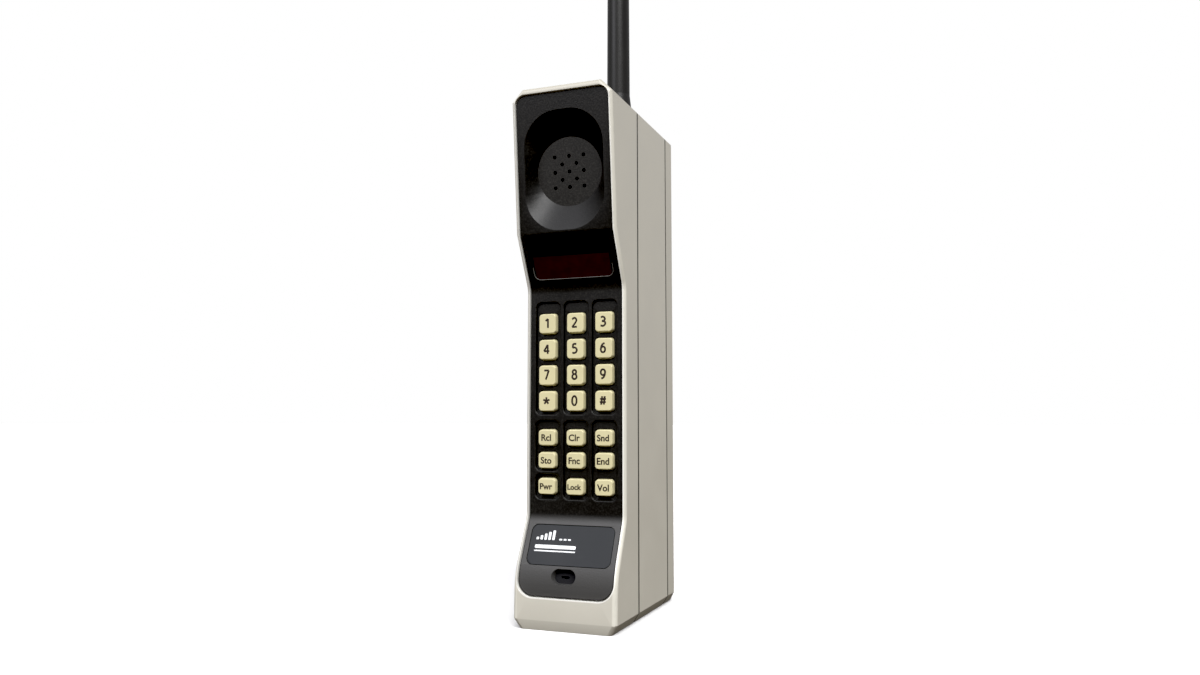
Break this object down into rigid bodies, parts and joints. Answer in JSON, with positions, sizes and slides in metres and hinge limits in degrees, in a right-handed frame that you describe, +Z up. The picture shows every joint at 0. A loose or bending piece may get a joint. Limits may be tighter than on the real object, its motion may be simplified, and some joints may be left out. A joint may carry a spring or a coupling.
{
  "type": "early mobile brick phone",
  "caption": "Tall early mobile phone with a sunken earpiece, sloped red display, rows of cream keys, a rubber whip antenna and a slide-off battery pack.",
  "frame": {"origin": "middle of the base, under the middle of the body's width and depth", "axes": "+Z up along the antenna, the keypad faces -Y, +X is the antenna's side, on the right as the keypad is faced"},
  "size_m": [0.0446, 0.0886, 0.33],
  "materials": {
    "shell": "fine satin-textured ivory plastic",
    "pack_shell": "fine satin-textured ivory plastic, slightly darker",
    "black_panel": "speckled matt black plastic",
    "key": null,
    "lens": "dark red transparent acrylic",
    "label": "blue-grey satin plate",
    "black_rubber": "smooth matt black rubber",
    "mat_rubber": "grey silicone rubber",
    "board": "green glass-fibre board",
    "lamp_module": "dark red lamp module",
    "tin": "tinned steel",
    "alloy": "mill-finished sheet and fins",
    "silver_block": "plated block",
    "buzzer": "black moulded case",
    "brass": "plain brass",
    "steel": "zinc-plated steel",
    "rail": "black low-friction plastic",
    "cell": "sleeved metal cans"
  },
  "bodies": {
    "handset": {"front_housing": "shell", "rear_housing": "shell", "front_panel": "black_panel", "earpiece_grille": "black_panel", "display_hood": "black_panel", "base_connector": "black_panel", "display_lens": "lens", "label_plate": "label", "antenna_whip": "black_rubber", "mic_boot": "black_rubber", "seam_gasket": "black_rubber", "receiver_gasket": "black_rubber", "key_mat": "mat_rubber", "logic_board": "board", "rf_board": "board", "keypad_board": "board", "display_board": "board", "display_module": "lamp_module", "rf_shield": "tin", "earpiece_receiver": "tin", "mic_capsule": "tin", "heat_sink": "alloy", "back_plate": "alloy", "duplexer": "silver_block", "ringer": "buzzer", "antenna_socket": "brass", "antenna_stud": "brass", "contact_springs": "brass", "connector_pins": "brass", "case_screws": "steel", "pack_rails": "rail", "contact_block": "rail"},
    "battery_pack": {"battery_cover": "pack_shell", "battery_tray": "pack_shell", "battery_cells": "cell", "cell_straps": "steel", "pack_contacts": "brass", "latch_spring": "steel"},
    "latch": {"battery_latch": "black_panel"},
    "key_1_body": {"key_1": "key"},
    "key_2_body": {"key_2": "key"},
    "key_3_body": {"key_3": "key"},
    "key_4_body": {"key_4": "key"},
    "key_5_body": {"key_5": "key"},
    "key_6_body": {"key_6": "key"},
    "key_7_body": {"key_7": "key"},
    "key_8_body": {"key_8": "key"},
    "key_9_body": {"key_9": "key"},
    "key_star_body": {"key_star": "key"},
    "key_0_body": {"key_0": "key"},
    "key_hash_body": {"key_hash": "key"},
    "key_recall_body": {"key_recall": "key"},
    "key_clear_body": {"key_clear": "key"},
    "key_send_body": {"key_send": "key"},
    "key_store_body": {"key_store": "key"},
    "key_function_body": {"key_function": "key"},
    "key_end_body": {"key_end": "key"},
    "key_power_body": {"key_power": "key"},
    "key_lock_body": {"key_lock": "key"},
    "key_volume_body": {"key_volume": "key"}
  },
  "joints": [
    {"name": "battery_slide", "type": "slide", "parent": "handset", "child": "battery_pack", "axis": [0, 0, 1], "range_m": [0, 0.235]},
    {"name": "latch_slide", "type": "slide", "parent": "battery_pack", "child": "latch", "axis": [0, 0, -1], "range_m": [0, 0.004], "stiffness_N_per_m": 300, "springref_m": -0.002, "deforming": ["latch_spring"]},
    {"name": "key_1_press", "type": "slide", "parent": "handset", "child": "key_1_body", "axis": [0, 1, 0], "range_m": [0, 0.0008], "stiffness_N_per_m": 600, "springref_m": -0.0008},
    {"name": "key_2_press", "type": "slide", "parent": "handset", "child": "key_2_body", "axis": [0, 1, 0], "range_m": [0, 0.0008], "stiffness_N_per_m": 600, "springref_m": -0.0008},
    {"name": "key_3_press", "type": "slide", "parent": "handset", "child": "key_3_body", "axis": [0, 1, 0], "range_m": [0, 0.0008], "stiffness_N_per_m": 600, "springref_m": -0.0008},
    {"name": "key_4_press", "type": "slide", "parent": "handset", "child": "key_4_body", "axis": [0, 1, 0], "range_m": [0, 0.0008], "stiffness_N_per_m": 600, "springref_m": -0.0008},
    {"name": "key_5_press", "type": "slide", "parent": "handset", "child": "key_5_body", "axis": [0, 1, 0], "range_m": [0, 0.0008], "stiffness_N_per_m": 600, "springref_m": -0.0008},
    {"name": "key_6_press", "type": "slide", "parent": "handset", "child": "key_6_body", "axis": [0, 1, 0], "range_m": [0, 0.0008], "stiffness_N_per_m": 600, "springref_m": -0.0008},
    {"name": "key_7_press", "type": "slide", "parent": "handset", "child": "key_7_body", "axis": [0, 1, 0], "range_m": [0, 0.0008], "stiffness_N_per_m": 600, "springref_m": -0.0008},
    {"name": "key_8_press", "type": "slide", "parent": "handset", "child": "key_8_body", "axis": [0, 1, 0], "range_m": [0, 0.0008], "stiffness_N_per_m": 600, "springref_m": -0.0008},
    {"name": "key_9_press", "type": "slide", "parent": "handset", "child": "key_9_body", "axis": [0, 1, 0], "range_m": [0, 0.0008], "stiffness_N_per_m": 600, "springref_m": -0.0008},
    {"name": "key_star_press", "type": "slide", "parent": "handset", "child": "key_star_body", "axis": [0, 1, 0], "range_m": [0, 0.0008], "stiffness_N_per_m": 600, "springref_m": -0.0008},
    {"name": "key_0_press", "type": "slide", "parent": "handset", "child": "key_0_body", "axis": [0, 1, 0], "range_m": [0, 0.0008], "stiffness_N_per_m": 600, "springref_m": -0.0008},
    {"name": "key_hash_press", "type": "slide", "parent": "handset", "child": "key_hash_body", "axis": [0, 1, 0], "range_m": [0, 0.0008], "stiffness_N_per_m": 600, "springref_m": -0.0008},
    {"name": "key_recall_press", "type": "slide", "parent": "handset", "child": "key_recall_body", "axis": [0, 1, 0], "range_m": [0, 0.0008], "stiffness_N_per_m": 600, "springref_m": -0.0008},
    {"name": "key_clear_press", "type": "slide", "parent": "handset", "child": "key_clear_body", "axis": [0, 1, 0], "range_m": [0, 0.0008], "stiffness_N_per_m": 600, "springref_m": -0.0008},
    {"name": "key_send_press", "type": "slide", "parent": "handset", "child": "key_send_body", "axis": [0, 1, 0], "range_m": [0, 0.0008], "stiffness_N_per_m": 600, "springref_m": -0.0008},
    {"name": "key_store_press", "type": "slide", "parent": "handset", "child": "key_store_body", "axis": [0, 1, 0], "range_m": [0, 0.0008], "stiffness_N_per_m": 600, "springref_m": -0.0008},
    {"name": "key_function_press", "type": "slide", "parent": "handset", "child": "key_function_body", "axis": [0, 1, 0], "range_m": [0, 0.0008], "stiffness_N_per_m": 600, "springref_m": -0.0008},
    {"name": "key_end_press", "type": "slide", "parent": "handset", "child": "key_end_body", "axis": [0, 1, 0], "range_m": [0, 0.0008], "stiffness_N_per_m": 600, "springref_m": -0.0008},
    {"name": "key_power_press", "type": "slide", "parent": "handset", "child": "key_power_body", "axis": [0, 1, 0], "range_m": [0, 0.0008], "stiffness_N_per_m": 600, "springref_m": -0.0008},
    {"name": "key_lock_press", "type": "slide", "parent": "handset", "child": "key_lock_body", "axis": [0, 1, 0], "range_m": [0, 0.0008], "stiffness_N_per_m": 600, "springref_m": -0.0008},
    {"name": "key_volume_press", "type": "slide", "parent": "handset", "child": "key_volume_body", "axis": [0, 1, 0], "range_m": [0, 0.0008], "stiffness_N_per_m": 600, "springref_m": -0.0008}
  ]
}
